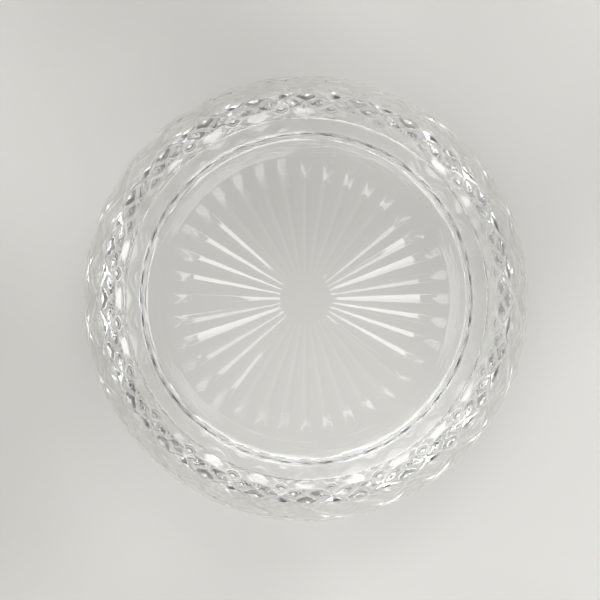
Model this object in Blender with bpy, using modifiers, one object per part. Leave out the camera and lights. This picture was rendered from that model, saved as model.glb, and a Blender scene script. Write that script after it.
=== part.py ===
"""A round cut-glass dappen dish, one piece of clear glass, at real size in metres with +Z up.

The origin is on the axis, level with the ring that the dish stands on. A profile is turned into the
body, criss-cross cuts are pressed into its wall, and a star is cut into the underside of its floor.
"""

import math

import bmesh
import bpy
from mathutils import Matrix

# Driving dimensions, in metres
DISH_HEIGHT = 0.0340
BELLY_RADIUS = 0.0330
BELLY_HEIGHT = 0.0165
MOUTH_RADIUS = 0.0232
RIM_WIDTH = 0.0026
RIM_ROUNDING = 0.0006
FOOT_RADIUS = 0.0278
FOOT_WIDTH = 0.0024
FOOT_DEPTH = 0.0010
FOOT_ROUNDING = 0.0004
WALL_AT_BELLY = 0.0087
FLOOR_TOP = 0.0046
FLOOR_RADIUS = 0.0238
FLOOR_CORNER = 0.0010
BULGE_POWER = 1.6

# Criss-cross cuts round the wall
LOZENGES_ROUND = 24
LOZENGE_ROWS = 6
TOP_ROW_HEIGHT = 0.0288
BOTTOM_ROW_HEIGHT = 0.0082
CUT_DEPTH = 0.0007
CUT_RUNOUT = 0.0008

# Star cut into the underside of the floor
STAR_RAYS = 36
STAR_INNER_RADIUS = 0.0040
STAR_DEEPEST_RADIUS = 0.0190
STAR_OUTER_RADIUS = 0.0207
STAR_RAY_WIDTH = 0.0024
STAR_DEPTH = 0.0010
STAR_CUTTER_BELOW = 0.0003

# Fineness of the mesh
GRID_PER_LOZENGE = 4
ROUNDING_STEPS = 3
WALL_STEPS = 7
CORNER_STEPS = 3
SMOOTH_ANGLE = math.radians(25)

GLASS_COLOUR = (0.93, 0.95, 0.94, 1.0)
GLASS_ROUGHNESS = 0.02
GLASS_IOR = 1.52


def clear_scene():
    for old in list(bpy.data.objects):
        bpy.data.objects.remove(old, do_unlink=True)


def new_collection(name):
    collection = bpy.data.collections.new(name)
    bpy.context.scene.collection.children.link(collection)
    return collection


def clear_glass():
    material = bpy.data.materials.new("clear_glass")
    material.use_nodes = True
    shader = material.node_tree.nodes["Principled BSDF"]
    shader.inputs["Base Color"].default_value = GLASS_COLOUR
    shader.inputs["Roughness"].default_value = GLASS_ROUGHNESS
    shader.inputs["Metallic"].default_value = 0.0
    shader.inputs["IOR"].default_value = GLASS_IOR
    shader.inputs["Transmission Weight"].default_value = 1.0
    return material


def arc(centre_x, centre_z, radius, start_degrees, end_degrees):
    """Points round a quarter circle of the profile."""
    points = []
    for step in range(ROUNDING_STEPS + 1):
        angle = math.radians(
            start_degrees + (end_degrees - start_degrees) * step / ROUNDING_STEPS
        )
        points.append(
            (centre_x + radius * math.cos(angle), centre_z + radius * math.sin(angle))
        )
    return points


def wall_radius(height, top_radius, belly_radius, bottom_radius, bottom):
    """Radius of a wall that is widest at the belly and draws in towards its two ends."""
    if height > BELLY_HEIGHT:
        share = (height - BELLY_HEIGHT) / (DISH_HEIGHT - BELLY_HEIGHT)
        end_radius = top_radius
    else:
        share = (BELLY_HEIGHT - height) / (BELLY_HEIGHT - bottom)
        end_radius = bottom_radius
    return belly_radius - (belly_radius - end_radius) * share**BULGE_POWER


def outer_radius(height):
    rim_radius = MOUTH_RADIUS + RIM_WIDTH
    return wall_radius(height, rim_radius, BELLY_RADIUS, FOOT_RADIUS, 0.0)


def inner_radius(height):
    belly = BELLY_RADIUS - WALL_AT_BELLY
    foot = FLOOR_RADIUS + FLOOR_CORNER
    return wall_radius(height, MOUTH_RADIUS, belly, foot, FLOOR_TOP)


def evenly(start, end, steps):
    return [start + (end - start) * step / steps for step in range(steps + 1)]


def half_pitch():
    """Height between two rings of the lattice, half the height between two rows of lozenges."""
    return (TOP_ROW_HEIGHT - BOTTOM_ROW_HEIGHT) / (2 * (LOZENGE_ROWS - 1))


def lattice_heights():
    """Heights of the rings that the cuts pass through, from the top down."""
    top = TOP_ROW_HEIGHT + half_pitch()
    bottom = BOTTOM_ROW_HEIGHT - half_pitch()
    return evenly(top, bottom, 2 * LOZENGE_ROWS)


def dish_profile():
    """Half section: middle of the floor, up the inside, over the rim, down the outside, back to the axis."""
    points = [(0.0, FLOOR_TOP)]
    corner_top = FLOOR_TOP + FLOOR_CORNER
    corner_end = inner_radius(corner_top)
    for step in range(CORNER_STEPS):
        angle = math.radians(90) * step / CORNER_STEPS
        across = FLOOR_RADIUS + (corner_end - FLOOR_RADIUS) * math.sin(angle)
        points.append((across, corner_top - FLOOR_CORNER * math.cos(angle)))
    for height in evenly(corner_top, DISH_HEIGHT - RIM_ROUNDING, WALL_STEPS)[:-1]:
        points.append((inner_radius(height), height))
    rim_level = DISH_HEIGHT - RIM_ROUNDING
    rim_outside = outer_radius(rim_level)
    points += arc(MOUTH_RADIUS + RIM_ROUNDING, rim_level, RIM_ROUNDING, 180, 90)
    points += arc(rim_outside - RIM_ROUNDING, rim_level, RIM_ROUNDING, 90, 0)
    heights = lattice_heights()
    for height in [heights[0] + CUT_RUNOUT] + heights + [heights[-1] - CUT_RUNOUT]:
        points.append((outer_radius(height), height))
    foot_level = outer_radius(2 * FOOT_ROUNDING)
    foot_inside = FOOT_RADIUS - FOOT_WIDTH
    points.append((foot_level, 2 * FOOT_ROUNDING))
    points += arc(foot_level - FOOT_ROUNDING, FOOT_ROUNDING, FOOT_ROUNDING, 0, -90)
    points += arc(foot_inside + FOOT_ROUNDING, FOOT_ROUNDING, FOOT_ROUNDING, -90, -180)
    points.append((foot_inside, FOOT_DEPTH))
    points.append((0.0, FOOT_DEPTH))
    return points


def turned(name, profile, steps, collection):
    """A closed body turned from a profile, with the Screw modifier applied."""
    mesh = bpy.data.meshes.new(name + "_profile")
    edges = [(index, index + 1) for index in range(len(profile) - 1)]
    mesh.from_pydata([(x, 0.0, z) for x, z in profile], edges, [])
    guide = bpy.data.objects.new(name + "_profile", mesh)
    collection.objects.link(guide)
    screw = guide.modifiers.new("turn", "SCREW")
    screw.steps = steps
    screw.render_steps = steps
    screw.use_merge_vertices = True
    screw.merge_threshold = 1e-5
    graph = bpy.context.evaluated_depsgraph_get()
    body_mesh = bpy.data.meshes.new_from_object(guide.evaluated_get(graph))
    bpy.data.objects.remove(guide, do_unlink=True)
    body_mesh.name = name
    body = bpy.data.objects.new(name, body_mesh)
    collection.objects.link(body)
    return body


def cut_depth_at(column, row):
    """Depth of the criss-cross cuts at a point of the lattice grid.

    Two families of cuts cross on a slant. A cut runs where either slanted count is halfway
    between two lozenges, and every other grid point keeps the height of the wall.
    """
    halfway = GRID_PER_LOZENGE // 2
    on_rising_cut = (column + row) % GRID_PER_LOZENGE == halfway
    on_falling_cut = (column - row) % GRID_PER_LOZENGE == halfway
    return CUT_DEPTH if on_rising_cut or on_falling_cut else 0.0


def cut_lattice(body):
    """Presses the criss-cross cuts into the turned wall and creases each face along its cut."""
    heights = lattice_heights()
    steps = GRID_PER_LOZENGE * LOZENGES_ROUND
    mesh = bmesh.new()
    mesh.from_mesh(body.data)
    depth_of = {}
    for vert in mesh.verts:
        radius = math.hypot(vert.co.x, vert.co.y)
        row = round((heights[0] - vert.co.z) / half_pitch())
        if not 0 <= row < len(heights) or radius < outer_radius(vert.co.z) - 1e-5:
            continue
        if abs(vert.co.z - heights[row]) > 1e-5:
            continue
        column = round(math.atan2(vert.co.y, vert.co.x) / math.tau * steps)
        depth_of[vert] = cut_depth_at(column, row - 1)
    for vert, depth in depth_of.items():
        shrink = 1.0 - depth / math.hypot(vert.co.x, vert.co.y)
        vert.co.x *= shrink
        vert.co.y *= shrink
    for face in list(mesh.faces):
        corners = list(face.verts)
        if len(corners) != 4 or not any(corner in depth_of for corner in corners):
            continue
        depths = [depth_of.get(corner, 0.0) for corner in corners]
        first_is_level = depths[0] == depths[2]
        second_is_deeper = depths[1] == depths[3] and depths[1] > depths[0]
        start = 0 if first_is_level and not second_is_deeper else 1
        bmesh.utils.face_split(face, corners[start], corners[start + 2])
    mesh.to_mesh(body.data)
    mesh.free()


def star_cutter(collection):
    """One four-sided point for each ray of the star, narrow towards the middle of the floor."""
    mesh = bmesh.new()
    apex_level = FOOT_DEPTH + STAR_DEPTH
    growth = (STAR_DEPTH + STAR_CUTTER_BELOW) / STAR_DEPTH
    outward = (STAR_OUTER_RADIUS - STAR_DEEPEST_RADIUS) * growth
    inward = (STAR_DEEPEST_RADIUS - STAR_INNER_RADIUS) * growth
    for ray in range(STAR_RAYS):
        point = bmesh.ops.create_cone(
            mesh, cap_ends=True, segments=4, radius1=1.0, radius2=0.0, depth=1.0
        )["verts"]
        for vert in point:
            along, across = vert.co.x, vert.co.y
            reach = outward if along > 0 else inward
            is_apex = vert.co.z > 0
            vert.co.x = STAR_DEEPEST_RADIUS + along * reach
            vert.co.y = across * STAR_RAY_WIDTH / 2 * growth
            vert.co.z = apex_level if is_apex else FOOT_DEPTH - STAR_CUTTER_BELOW
        turn = Matrix.Rotation(math.tau * ray / STAR_RAYS, 4, "Z")
        bmesh.ops.transform(mesh, matrix=turn, verts=point)
    bmesh.ops.recalc_face_normals(mesh, faces=mesh.faces)
    data = bpy.data.meshes.new("star_cutter")
    mesh.to_mesh(data)
    mesh.free()
    cutter = bpy.data.objects.new("star_cutter", data)
    cutter.hide_render = True
    cutter.display_type = "WIRE"
    collection.objects.link(cutter)
    return cutter


def build_dish(parts, cutters):
    steps = GRID_PER_LOZENGE * LOZENGES_ROUND
    dish = turned("glass_dish", dish_profile(), steps, parts)
    cut_lattice(dish)
    cut = dish.modifiers.new("star", "BOOLEAN")
    cut.operation = "DIFFERENCE"
    cut.solver = "EXACT"
    cut.object = star_cutter(cutters)
    dish.data.materials.clear()
    dish.data.materials.append(clear_glass())
    dish.data.shade_smooth()
    dish.data.set_sharp_from_angle(angle=SMOOTH_ANGLE)
    return dish


clear_scene()
build_dish(new_collection("dappen_dish"), new_collection("cutters"))
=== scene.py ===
"""The looks of the cut-glass dappen dish: fine glass mesh, glass material, floor, light and camera.

Lengths are in metres. Azimuths are in degrees, counter-clockwise from +X as seen from above.
"""

import math

import bpy
import numpy as np
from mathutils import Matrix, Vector


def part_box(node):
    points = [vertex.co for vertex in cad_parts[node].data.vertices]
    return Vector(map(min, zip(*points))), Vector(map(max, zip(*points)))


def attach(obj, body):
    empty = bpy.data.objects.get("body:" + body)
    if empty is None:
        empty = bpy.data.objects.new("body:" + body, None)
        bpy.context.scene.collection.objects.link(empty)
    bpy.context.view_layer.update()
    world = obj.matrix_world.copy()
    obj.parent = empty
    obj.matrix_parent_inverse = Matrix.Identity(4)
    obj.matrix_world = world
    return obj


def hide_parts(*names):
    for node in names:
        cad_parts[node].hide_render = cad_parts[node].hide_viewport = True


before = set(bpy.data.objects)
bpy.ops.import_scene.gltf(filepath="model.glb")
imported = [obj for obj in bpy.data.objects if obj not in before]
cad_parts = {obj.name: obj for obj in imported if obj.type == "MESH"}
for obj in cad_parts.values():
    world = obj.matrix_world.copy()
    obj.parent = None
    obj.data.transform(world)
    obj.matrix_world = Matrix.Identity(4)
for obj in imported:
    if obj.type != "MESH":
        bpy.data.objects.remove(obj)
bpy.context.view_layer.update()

# The dish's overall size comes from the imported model, and the rest repeats its design
DISH_LOW, DISH_HIGH = (Vector(corner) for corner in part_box("glass_dish"))
DISH_HEIGHT = DISH_HIGH.z
BELLY_RADIUS = DISH_HIGH.x
BELLY_HEIGHT = 0.0165
MOUTH_RADIUS = 0.0232
RIM_WIDTH = 0.0026
RIM_INNER_ROUNDING = 0.0009
RIM_OUTER_ROUNDING = 0.0005
FOOT_RADIUS = 0.0278
FOOT_WIDTH = 0.0024
FOOT_DEPTH = 0.0010
FOOT_ROUNDING = 0.0004
WALL_AT_BELLY = 0.0087
FLOOR_TOP = 0.0046
FLOOR_RADIUS = 0.0248
FLOOR_CORNER = 0.0010
BULGE_POWER = 1.6

# Criss-cross cuts round the wall, with the half width as a share of a lozenge
LOZENGES_ROUND = 24
LOZENGE_ROWS = 6
TOP_ROW_HEIGHT = 0.0288
BOTTOM_ROW_HEIGHT = 0.0082
CUT_DEPTH = 0.00026
CUT_HALF_WIDTH = 0.24
CUT_RUNOUT = 0.0012

# Star cut into the underside of the floor
STAR_RAYS = 36
STAR_INNER_RADIUS = 0.0040
STAR_DEEPEST_RADIUS = 0.0190
STAR_OUTER_RADIUS = 0.0206
STAR_DEPTH = 0.000118

# Fineness of the mesh: the columns round the dish fit both the lozenges and the rays
GRID_PER_LOZENGE = 24
COLUMNS = GRID_PER_LOZENGE * LOZENGES_ROUND
COLUMNS_PER_RAY = COLUMNS // STAR_RAYS
RAY_HALF_COLUMNS = COLUMNS_PER_RAY // 4
FLOOR_HUB_RADIUS = 0.0020
FLOOR_STEPS = 10
FLOOR_CORNER_STEPS = 12
INSIDE_STEPS = 44
RIM_STEPS = 8
SMALL_ROUNDING_STEPS = 6
UNDERSIDE_STEPS = 4
RAY_STEPS = 20
PLAIN_CENTRE_SHARES = (0.93, 0.5)
SHARP_ANGLE = math.radians(13)
RISE_FOR_SLOPE = 1e-5
SLOPE_ROUNDS = 8
DEEP_DIAGONAL_SHARE = 0.01
TINTED_SHARE_OF_RIM = 0.1
TINTED_FROM_RADIUS = MOUTH_RADIUS + (1 - TINTED_SHARE_OF_RIM) * RIM_WIDTH

# Glass: the wall's values are those of the cut outer wall. Its darker colour is painted shade that dims
# the glints and greys the lozenges there, and its tint dims the light that passes through it to the floor
GLASS_IOR = 1.52
MOST_ROUGHNESS = 0.02
CLEAR_TINT = 0.99
WALL_TINT = 0.80
CLEAR_COLOUR = (0.985, 0.99, 0.985, 1.0)
WALL_SHADED_COLOUR = (0.925, 0.93, 0.915, 1.0)

# Pale sheet that the dish stands on, with painted light and shade: paler towards one side and patchy
FLOOR_SIZE = 6.0
FLOOR_GAP = 0.00005
FLOOR_LIT_COLOUR = (0.95, 0.935, 0.90, 1.0)
FLOOR_SHADE = (0.725, 0.715, 0.685, 1.0)
FLOOR_ROUGHNESS = 0.9
FLOOR_SPECULAR = 0.1
LIT_TOWARDS = (3.0, -1.2, 0.0)

# Room light: its strength on the pale and dark sides, and how it fades towards the horizon
ROOM_COLOUR = (1.0, 1.0, 0.985, 1.0)
ROOM_PALE = 0.94
ROOM_DARK = 0.06
ROOM_PALE_SIDE = -0.45
ROOM_DARK_SIDE = 0.25
HAZE_TOP = 0.3
HORIZON_SHARE = 0.2
BACKDROP = 0.62

# Lamps: the lowest and highest elevation of each kind
WINDOW_ELEVATIONS = (58, 72)
SOFTBOX_ELEVATIONS = (40, 60)
STRIP_ELEVATIONS = (15, 55)
LAMP_DISTANCE = 1.2
NEAR_WINDOW_DISTANCE = 0.6
STRIP_RADIANCE = 8.0
BOUNCES = 12

# Camera, with the belly's radius as a share of the frame's width
CAMERA_HEIGHT = 0.508
CAMERA_ASIDE = (-0.0009, -0.0002)
SENSOR = 36.0
BELLY_SHARE = 0.37083


def wall_radius(height, top_radius, belly_radius, bottom_radius, bottom):
    """Radius of a wall that is widest at the belly and draws in towards its two ends."""
    if height > BELLY_HEIGHT:
        share = (height - BELLY_HEIGHT) / (DISH_HEIGHT - BELLY_HEIGHT)
        end_radius = top_radius
    else:
        share = (BELLY_HEIGHT - height) / (BELLY_HEIGHT - bottom)
        end_radius = bottom_radius
    return belly_radius - (belly_radius - end_radius) * share**BULGE_POWER


def outer_radius(height):
    rim_radius = MOUTH_RADIUS + RIM_WIDTH
    return wall_radius(height, rim_radius, BELLY_RADIUS, FOOT_RADIUS, 0.0)


def inner_radius(height):
    belly = BELLY_RADIUS - WALL_AT_BELLY
    return wall_radius(height, MOUTH_RADIUS, belly, FLOOR_RADIUS, FLOOR_TOP)


def evenly(start, end, steps):
    return [start + (end - start) * step / steps for step in range(steps + 1)]


def arc(centre_x, centre_z, radius, start, end, steps):
    """Points on a circle of the profile, between two angles in degrees."""
    angles = [math.radians(angle) for angle in evenly(start, end, steps)]
    return [
        (centre_x + radius * math.cos(angle), centre_z + radius * math.sin(angle))
        for angle in angles
    ]


def floor_corner():
    """The rounded corner between the flat floor and the leaning inner wall, and the height it ends at."""
    lean = 0.0
    for _ in range(SLOPE_ROUNDS):
        end = FLOOR_TOP + FLOOR_CORNER * (1 - math.sin(lean))
        widening = inner_radius(end + RISE_FOR_SLOPE) - inner_radius(end)
        lean = math.atan(widening / RISE_FOR_SLOPE)
    centre_x = inner_radius(end) - FLOOR_CORNER * math.cos(lean)
    centre_z = FLOOR_TOP + FLOOR_CORNER
    end_angle = -math.degrees(lean)
    return arc(centre_x, centre_z, FLOOR_CORNER, -90, end_angle, FLOOR_CORNER_STEPS), end


def row_height():
    """Height between two neighbouring rows of lozenges."""
    return (TOP_ROW_HEIGHT - BOTTOM_ROW_HEIGHT) / (LOZENGE_ROWS - 1)


def groove(count):
    """1 in the middle of a rounded groove that runs halfway between whole counts, and 0 outside it."""
    distance = np.abs(count - np.floor(count) - 0.5)
    return np.cos(np.clip(distance / CUT_HALF_WIDTH, 0, 1) * math.pi) / 2 + 0.5


def lattice_cut(height):
    """Depth of the criss-cross cuts round the dish at one height."""
    around = np.arange(COLUMNS) / GRID_PER_LOZENGE
    down = (TOP_ROW_HEIGHT - height) / (2 * row_height())
    top = TOP_ROW_HEIGHT + row_height() / 2 + CUT_RUNOUT
    bottom = BOTTOM_ROW_HEIGHT - row_height() / 2 - CUT_RUNOUT
    fade = min(1.0, (top - height) / CUT_RUNOUT, (height - bottom) / CUT_RUNOUT)
    return CUT_DEPTH * max(0.0, fade) * np.maximum(groove(around + down), groove(around - down))


def star_cut(radius):
    """Depth of the star's rays round the dish at one radius: a wedge that ends in a sloping facet."""
    if radius < STAR_INNER_RADIUS:
        return np.zeros(COLUMNS)
    column = np.arange(COLUMNS) % COLUMNS_PER_RAY
    across = np.minimum(column, COLUMNS_PER_RAY - column) / RAY_HALF_COLUMNS
    deepest = STAR_DEPTH * min(radius / STAR_DEEPEST_RADIUS, 1.0)
    side = deepest * np.clip(1 - across, 0, 1)
    end_slope = STAR_DEPTH / (STAR_OUTER_RADIUS - STAR_DEEPEST_RADIUS)
    return np.minimum(side, max(0.0, (STAR_OUTER_RADIUS - radius) * end_slope))


def inside_points():
    """Profile from the middle of the floor up the inside and over the rim."""
    corner, corner_end = floor_corner()
    points = [(radius, FLOOR_TOP) for radius in evenly(FLOOR_HUB_RADIUS, corner[0][0], FLOOR_STEPS)]
    points[-1:] = corner
    inner_level = DISH_HEIGHT - RIM_INNER_ROUNDING
    outer_level = DISH_HEIGHT - RIM_OUTER_ROUNDING
    heights = evenly(corner_end, inner_level, INSIDE_STEPS)[1:-1]
    points += [(inner_radius(height), height) for height in heights]
    inner_centre = MOUTH_RADIUS + RIM_INNER_ROUNDING
    outer_centre = outer_radius(outer_level) - RIM_OUTER_ROUNDING
    points += arc(inner_centre, inner_level, RIM_INNER_ROUNDING, 180, 90, RIM_STEPS)
    points += arc(outer_centre, outer_level, RIM_OUTER_ROUNDING, 90, 30, SMALL_ROUNDING_STEPS)
    return points


def wall_heights():
    """Heights of the outer wall's rings, from the rim down, on a grid that the cuts fit."""
    grid_height = 2 * row_height() / GRID_PER_LOZENGE
    above = int((DISH_HEIGHT - 2 * RIM_OUTER_ROUNDING - TOP_ROW_HEIGHT) / grid_height)
    below = int((TOP_ROW_HEIGHT - 3 * FOOT_ROUNDING) / grid_height)
    return [TOP_ROW_HEIGHT - step * grid_height for step in range(-above, below + 1)]


def foot_points():
    """Profile round the ring that the dish stands on, from its outside in."""
    outer_centre = outer_radius(2 * FOOT_ROUNDING) - FOOT_ROUNDING
    foot_inside = FOOT_RADIUS - FOOT_WIDTH
    inner_centre = foot_inside + FOOT_ROUNDING
    points = arc(outer_centre, FOOT_ROUNDING, FOOT_ROUNDING, 0, -90, SMALL_ROUNDING_STEPS)
    points += arc(inner_centre, FOOT_ROUNDING, FOOT_ROUNDING, -90, -180, SMALL_ROUNDING_STEPS)
    return points + [(foot_inside, FOOT_DEPTH)]


def underside_radii():
    """Radii of the underside's rings, close together where the rays end."""
    radii = evenly(FOOT_RADIUS - FOOT_WIDTH, STAR_OUTER_RADIUS, UNDERSIDE_STEPS)[1:-1]
    radii += evenly(STAR_OUTER_RADIUS, STAR_DEEPEST_RADIUS, RAY_HALF_COLUMNS)
    radii += evenly(STAR_DEEPEST_RADIUS, STAR_INNER_RADIUS, RAY_STEPS)[1:]
    return radii + [STAR_INNER_RADIUS * share for share in PLAIN_CENTRE_SHARES]


def dish_rings():
    """Rings of (radius, height) arrays: floor, inside, rim, wall, foot and underside, in that order."""
    flat = np.ones(COLUMNS)
    rings = [(radius * flat, height * flat) for radius, height in inside_points()]
    for height in wall_heights():
        rings.append((outer_radius(height) - lattice_cut(height), height * flat))
    rings += [(radius * flat, height * flat) for radius, height in foot_points()]
    rings += [(radius * flat, FOOT_DEPTH + star_cut(radius)) for radius in underside_radii()]
    return rings


def cut_away(radii, heights):
    """How deep the cuts are round one ring."""
    return np.hypot(radii - radii.max(), heights - heights.min())


def unevenness(depth, other_depth):
    """How far a diagonal between two points of a cut is from level, a little less for a deep one."""
    return np.abs(depth - other_depth) - DEEP_DIAGONAL_SHARE * np.minimum(depth, other_depth)


def strip_faces(rings, index):
    """Triangles between a ring and the next, split along the diagonals that lie closest to level.

    The creases of the cuts then follow edges.
    """
    here = np.arange(COLUMNS)
    after = (here + 1) % COLUMNS
    start, end = index * COLUMNS, (index + 1) * COLUMNS
    a, b, c, d = start + here, start + after, end + after, end + here
    near, far = cut_away(*rings[index]), cut_away(*rings[index + 1])
    along_ac = unevenness(near, far[after]) <= unevenness(near[after], far)
    along_ac = along_ac[:, None]
    first = np.where(along_ac, np.column_stack((a, b, c)), np.column_stack((a, b, d)))
    second = np.where(along_ac, np.column_stack((a, c, d)), np.column_stack((b, c, d)))
    return [first, second]


def turned_mesh(name, rings, first_centre, last_centre):
    """A closed mesh through rings of points, with a fan at each end.

    Its attribute "wall" is 1 on the outer wall and 0 elsewhere.
    """
    angles = np.arange(COLUMNS) * math.tau / COLUMNS
    points = []
    for radii, heights in rings:
        points.append(
            np.column_stack((radii * np.cos(angles), radii * np.sin(angles), heights))
        )
    verts = np.concatenate(points + [[(0, 0, first_centre), (0, 0, last_centre)]])
    faces = []
    for index in range(len(rings) - 1):
        faces += strip_faces(rings, index)
    here = np.arange(COLUMNS)
    after = (here + 1) % COLUMNS
    first_hub, last_hub = len(verts) - 2, len(verts) - 1
    last = (len(rings) - 1) * COLUMNS
    faces.append(np.column_stack((np.full(COLUMNS, first_hub), after, here)))
    faces.append(np.column_stack((np.full(COLUMNS, last_hub), last + here, last + after)))
    faces = np.concatenate(faces)[:, ::-1]
    mesh = bpy.data.meshes.new(name)
    mesh.from_pydata(verts.tolist(), [], faces.tolist())
    mesh.validate()
    on_wall = [
        (radii.max() > TINTED_FROM_RADIUS) & (heights > 2 * FOOT_ROUNDING)
        for radii, heights in rings
    ]
    wall = mesh.attributes.new("wall", "FLOAT", "POINT")
    wall.data.foreach_set("value", np.append(np.concatenate(on_wall), (0, 0)).astype(float))
    mesh.shade_smooth()
    mesh.set_sharp_from_angle(angle=SHARP_ANGLE)
    return mesh


def node(tree, kind, **values):
    """A shader node with its properties and its inputs' values set by name."""
    made = tree.nodes.new(kind)
    for name, value in values.items():
        if hasattr(made, name):
            setattr(made, name, value)
        else:
            named = {socket.name: socket for socket in made.inputs if socket.enabled}
            named[name.replace("_", " ")].default_value = value
    return made


def new_material(name):
    """A material with its node tree and its Principled BSDF."""
    material = bpy.data.materials.new(name)
    material.use_nodes = True
    return material, material.node_tree, material.node_tree.nodes["Principled BSDF"]


def clear_glass():
    """Clear pressed glass: slightly wavy, with faint smears that dull it a little.

    Lamps and bounced light pass straight through it, dimmed by the outer wall, so that they reach
    the floor under the dish. The outer wall's glass is also given a darker colour: painted shade that
    dims its glints and greys its lozenges.
    """
    material, tree, shader = new_material("clear_glass")
    shader.inputs["IOR"].default_value = GLASS_IOR
    shader.inputs["Transmission Weight"].default_value = 1.0
    place = node(tree, "ShaderNodeTexCoord")
    smears = node(tree, "ShaderNodeTexNoise", Scale=90.0, Detail=4.0)
    smeared = node(tree, "ShaderNodeMapRange", To_Min=0.0, To_Max=MOST_ROUGHNESS)
    waves = node(tree, "ShaderNodeTexNoise", Scale=160.0, Detail=1.0)
    bump = node(tree, "ShaderNodeBump", Strength=0.01, Distance=0.0003)
    wall = node(tree, "ShaderNodeAttribute", attribute_name="wall")
    tint = node(tree, "ShaderNodeMapRange", To_Min=CLEAR_TINT, To_Max=WALL_TINT)
    # painted shade: the cut outer wall's glass is darker in colour, which dims its glints and greys its
    # lozenges
    colour = node(tree, "ShaderNodeMix", data_type="RGBA", A=CLEAR_COLOUR, B=WALL_SHADED_COLOUR)
    open_glass = node(tree, "ShaderNodeBsdfTransparent")
    path = node(tree, "ShaderNodeLightPath")
    for_bounced = node(tree, "ShaderNodeMixShader")
    for_lamps = node(tree, "ShaderNodeMixShader")
    links = tree.links
    links.new(place.outputs["Object"], smears.inputs["Vector"])
    links.new(place.outputs["Object"], waves.inputs["Vector"])
    links.new(wall.outputs["Fac"], tint.inputs["Value"])
    links.new(wall.outputs["Fac"], colour.inputs["Factor"])
    links.new(colour.outputs["Result"], shader.inputs["Base Color"])
    links.new(tint.outputs["Result"], open_glass.inputs["Color"])
    links.new(smears.outputs["Fac"], smeared.inputs["Value"])
    links.new(smeared.outputs["Result"], shader.inputs["Roughness"])
    links.new(waves.outputs["Fac"], bump.inputs["Height"])
    links.new(bump.outputs["Normal"], shader.inputs["Normal"])
    links.new(path.outputs["Is Diffuse Ray"], for_bounced.inputs["Fac"])
    links.new(shader.outputs["BSDF"], for_bounced.inputs[1])
    links.new(open_glass.outputs["BSDF"], for_bounced.inputs[2])
    links.new(path.outputs["Is Shadow Ray"], for_lamps.inputs["Fac"])
    links.new(for_bounced.outputs["Shader"], for_lamps.inputs[1])
    links.new(open_glass.outputs["BSDF"], for_lamps.inputs[2])
    links.new(for_lamps.outputs["Shader"], tree.nodes["Material Output"].inputs["Surface"])
    return material


def make_dish():
    mesh = turned_mesh("cut_glass_dish", dish_rings(), FLOOR_TOP, FOOT_DEPTH)
    mesh.materials.append(clear_glass())
    dish = bpy.data.objects.new("cut_glass_dish", mesh)
    bpy.context.scene.collection.objects.link(dish)
    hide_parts("glass_dish")
    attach(dish, "root")


def pale_sheet():
    """A matt pale sheet with painted light and shade: painted light makes it paler towards one side, and
    patchy painted shade makes it slightly uneven in tone.
    """
    material, tree, shader = new_material("pale_sheet")
    shader.inputs["Roughness"].default_value = FLOOR_ROUGHNESS
    shader.inputs["Specular IOR Level"].default_value = FLOOR_SPECULAR
    place = node(tree, "ShaderNodeTexCoord")
    # painted shade: soft noise darkens the sheet in places
    shade_patches = node(tree, "ShaderNodeTexNoise", Scale=16.0, Detail=1.0)
    # painted light: the sheet grows paler towards one side
    paler = node(tree, "ShaderNodeVectorMath", operation="DOT_PRODUCT")
    paler.inputs[1].default_value = LIT_TOWARDS
    both = node(tree, "ShaderNodeMath", operation="ADD")
    shade = node(tree, "ShaderNodeMapRange", From_Min=0.3, From_Max=0.7)
    # the sheet's colour runs from the painted shade to the painted light
    colour = node(tree, "ShaderNodeMix", data_type="RGBA", A=FLOOR_SHADE, B=FLOOR_LIT_COLOUR)
    links = tree.links
    links.new(place.outputs["Object"], shade_patches.inputs["Vector"])
    links.new(place.outputs["Object"], paler.inputs[0])
    links.new(shade_patches.outputs["Fac"], both.inputs[0])
    links.new(paler.outputs["Value"], both.inputs[1])
    links.new(both.outputs["Value"], shade.inputs["Value"])
    links.new(shade.outputs["Result"], colour.inputs["Factor"])
    links.new(colour.outputs["Result"], shader.inputs["Base Color"])
    return material


def make_floor():
    half = FLOOR_SIZE / 2
    mesh = bpy.data.meshes.new("floor")
    corners = [(-half, -half, 0), (half, -half, 0), (half, half, 0), (-half, half, 0)]
    mesh.from_pydata(corners, [], [(0, 1, 2, 3)])
    mesh.materials.append(pale_sheet())
    floor = bpy.data.objects.new("floor", mesh)
    floor.location.z = DISH_LOW.z - FLOOR_GAP
    bpy.context.scene.collection.objects.link(floor)


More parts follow.
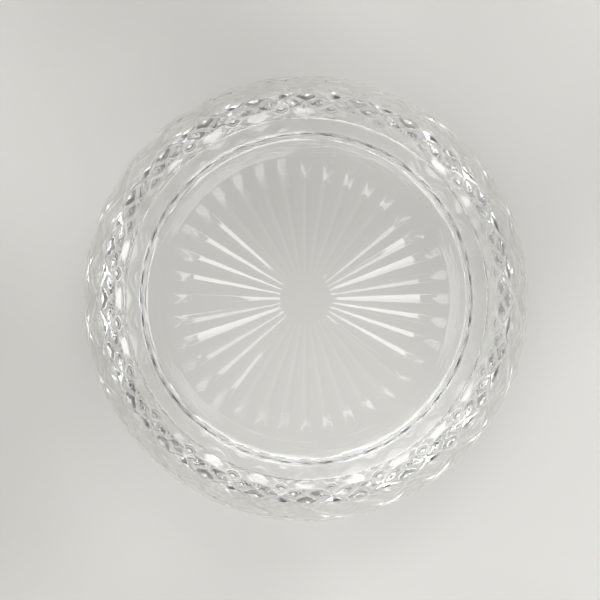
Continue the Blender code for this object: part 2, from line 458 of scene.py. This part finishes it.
def make_room_light():
    """Soft light that is pale on the left and dark on the right, with a plain backdrop for the camera."""
    world = bpy.data.worlds.new("room")
    world.use_nodes = True
    tree = world.node_tree
    background = tree.nodes["Background"]
    background.inputs["Color"].default_value = ROOM_COLOUR
    place = node(tree, "ShaderNodeTexCoord")
    split = node(tree, "ShaderNodeSeparateXYZ")
    side = node(
        tree,
        "ShaderNodeMapRange",
        interpolation_type="SMOOTHSTEP",
        From_Min=ROOM_PALE_SIDE,
        From_Max=ROOM_DARK_SIDE,
        To_Min=ROOM_PALE,
        To_Max=ROOM_DARK,
    )
    rise = node(tree, "ShaderNodeMapRange", From_Max=HAZE_TOP, To_Min=HORIZON_SHARE)
    faded = node(tree, "ShaderNodeMath", operation="MULTIPLY")
    path = node(tree, "ShaderNodeLightPath")
    seen = node(tree, "ShaderNodeMix", data_type="FLOAT", B=BACKDROP)
    links = tree.links
    links.new(place.outputs["Generated"], split.inputs["Vector"])
    links.new(split.outputs["X"], side.inputs["Value"])
    links.new(path.outputs["Is Camera Ray"], seen.inputs["Factor"])
    links.new(split.outputs["Z"], rise.inputs["Value"])
    links.new(side.outputs["Result"], faded.inputs[0])
    links.new(rise.outputs["Result"], faded.inputs[1])
    links.new(faded.outputs["Value"], seen.inputs["A"])
    links.new(seen.outputs["Result"], background.inputs["Strength"])
    bpy.context.scene.world = world


def direction(azimuth, elevation):
    azimuth, elevation = math.radians(azimuth), math.radians(elevation)
    flat = math.cos(elevation)
    return Vector((flat * math.cos(azimuth), flat * math.sin(azimuth), math.sin(elevation)))


def soft_lamp(name, azimuths, elevations, radiance, distance=LAMP_DISTANCE):
    """A soft light like a window, that spans two azimuths and two elevations."""
    azimuth, elevation = sum(azimuths) / 2, sum(elevations) / 2
    width, height = azimuths[1] - azimuths[0], elevations[1] - elevations[0]
    light = bpy.data.lights.new(name, "AREA")
    light.shape = "RECTANGLE"
    level_distance = distance * math.cos(math.radians(elevation))
    light.size = 2 * level_distance * math.tan(math.radians(width / 2))
    light.size_y = 2 * distance * math.tan(math.radians(height / 2))
    light.energy = radiance * math.pi * light.size * light.size_y
    lamp = bpy.data.objects.new(name, light)
    towards = direction(azimuth, elevation)
    lamp.location = towards * distance
    lamp.rotation_euler = towards.to_track_quat("Z", "Y").to_euler()
    lamp.visible_camera = False
    bpy.context.scene.collection.objects.link(lamp)
    return lamp


def make_windows():
    soft_lamp("window_back", (51, 90), WINDOW_ELEVATIONS, 9.0)
    soft_lamp("window_back_left", (104, 117), WINDOW_ELEVATIONS, 9.0)
    soft_lamp("window_right_front", (270, 316), WINDOW_ELEVATIONS, 5.4, NEAR_WINDOW_DISTANCE)


def make_softboxes():
    """Lamps that light the glass but not the floor, for the ends of the star's rays."""
    for name, azimuths, radiance in (
        ("softbox_left_back", (100, 150), 6.0),
        ("softbox_left_front", (211, 232), 5.5),
        ("softbox_right", (-20, 20), 6.0),
    ):
        softbox = soft_lamp(name, azimuths, SOFTBOX_ELEVATIONS, radiance)
        softbox.visible_diffuse = False


def make_strips():
    """Lamps that only reflections show, for the bright arcs round the rim."""
    for name, azimuths in (("strip_right_front", (270, 314)), ("strip_back", (51, 90))):
        strip = soft_lamp(name, azimuths, STRIP_ELEVATIONS, STRIP_RADIANCE)
        strip.visible_diffuse = False
        strip.visible_transmission = False


def limit_bounces():
    """Light that is still inside the glass after this many bounces is left dark, which draws the cuts."""
    cycles = bpy.context.scene.cycles
    cycles.max_bounces = BOUNCES
    cycles.glossy_bounces = BOUNCES
    cycles.transmission_bounces = BOUNCES


def make_camera():
    """Straight above the dish, at the distance where the belly fills its share of the frame."""
    data = bpy.data.cameras.new("camera")
    data.sensor_width = SENSOR
    data.lens = SENSOR * BELLY_SHARE * (CAMERA_HEIGHT - BELLY_HEIGHT) / BELLY_RADIUS
    camera = bpy.data.objects.new("camera", data)
    camera.location = (*CAMERA_ASIDE, CAMERA_HEIGHT)
    bpy.context.scene.collection.objects.link(camera)
    bpy.context.scene.camera = camera
    bpy.context.scene.view_settings.view_transform = "Standard"


make_dish()
make_floor()
make_room_light()
make_windows()
make_softboxes()
make_strips()
limit_bounces()
make_camera()
